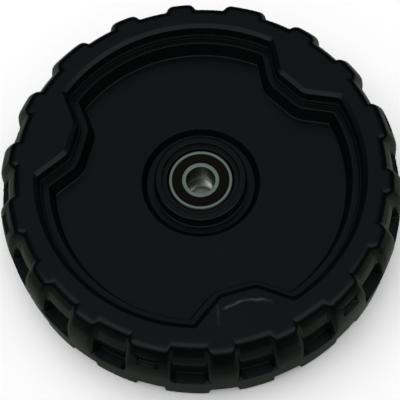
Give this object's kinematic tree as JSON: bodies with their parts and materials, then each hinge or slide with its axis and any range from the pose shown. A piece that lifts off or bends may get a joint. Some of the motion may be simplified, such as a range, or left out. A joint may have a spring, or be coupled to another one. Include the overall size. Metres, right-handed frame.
{
  "type": "wheel",
  "caption": "Moulded garden machine wheel with a block tread, a three-lobed recessed face, a ribbed rear side and sealed ball bearings in its hub.",
  "frame": {"origin": "on the axle line, in the plane of the rear rim", "axes": "+Z along the axle, out of the front face; the wheel lies on its rear rim"},
  "size_m": [0.213, 0.2128, 0.052],
  "materials": {
    "black_plastic": "satin black moulding",
    "bearing_steel": "ground",
    "ball_steel": "polished",
    "cage_nylon": "natural nylon",
    "seal_rubber": "matt",
    "spacer_zinc": "yellow zinc plated"
  },
  "bodies": {
    "wheel": {"wheel_body": "black_plastic", "front_outer_ring": "bearing_steel", "rear_outer_ring": "bearing_steel", "front_outside_seal": "seal_rubber", "front_inside_seal": "seal_rubber", "rear_outside_seal": "seal_rubber", "rear_inside_seal": "seal_rubber"},
    "front_inner": {"front_inner_ring": "bearing_steel"},
    "rear_inner": {"rear_inner_ring": "bearing_steel", "inner_spacer": "spacer_zinc"},
    "front_balls": {"front_cage": "cage_nylon", "front_ball_1": "ball_steel", "front_ball_2": "ball_steel", "front_ball_3": "ball_steel", "front_ball_4": "ball_steel", "front_ball_5": "ball_steel", "front_ball_6": "ball_steel", "front_ball_7": "ball_steel", "front_ball_8": "ball_steel"},
    "rear_balls": {"rear_cage": "cage_nylon", "rear_ball_1": "ball_steel", "rear_ball_2": "ball_steel", "rear_ball_3": "ball_steel", "rear_ball_4": "ball_steel", "rear_ball_5": "ball_steel", "rear_ball_6": "ball_steel", "rear_ball_7": "ball_steel", "rear_ball_8": "ball_steel"}
  },
  "joints": [
    {"name": "front_ring_spin", "type": "hinge", "parent": "wheel", "child": "front_inner", "pos_m": [0, 0, 0.02885], "axis": [0, 0, 1], "continuous": true},
    {"name": "rear_ring_spin", "type": "hinge", "parent": "wheel", "child": "rear_inner", "pos_m": [0, 0, 0.01385], "axis": [0, 0, 1], "continuous": true},
    {"name": "front_ball_orbit", "type": "hinge", "parent": "wheel", "child": "front_balls", "pos_m": [0, 0, 0.02885], "axis": [0, 0, 1], "continuous": true},
    {"name": "rear_ball_orbit", "type": "hinge", "parent": "wheel", "child": "rear_balls", "pos_m": [0, 0, 0.01385], "axis": [0, 0, 1], "continuous": true}
  ],
  "couplings": [
    {"joint": "front_ball_orbit", "follows": "front_ring_spin", "ratio": 0.382},
    {"joint": "rear_ball_orbit", "follows": "rear_ring_spin", "ratio": 0.382}
  ]
}
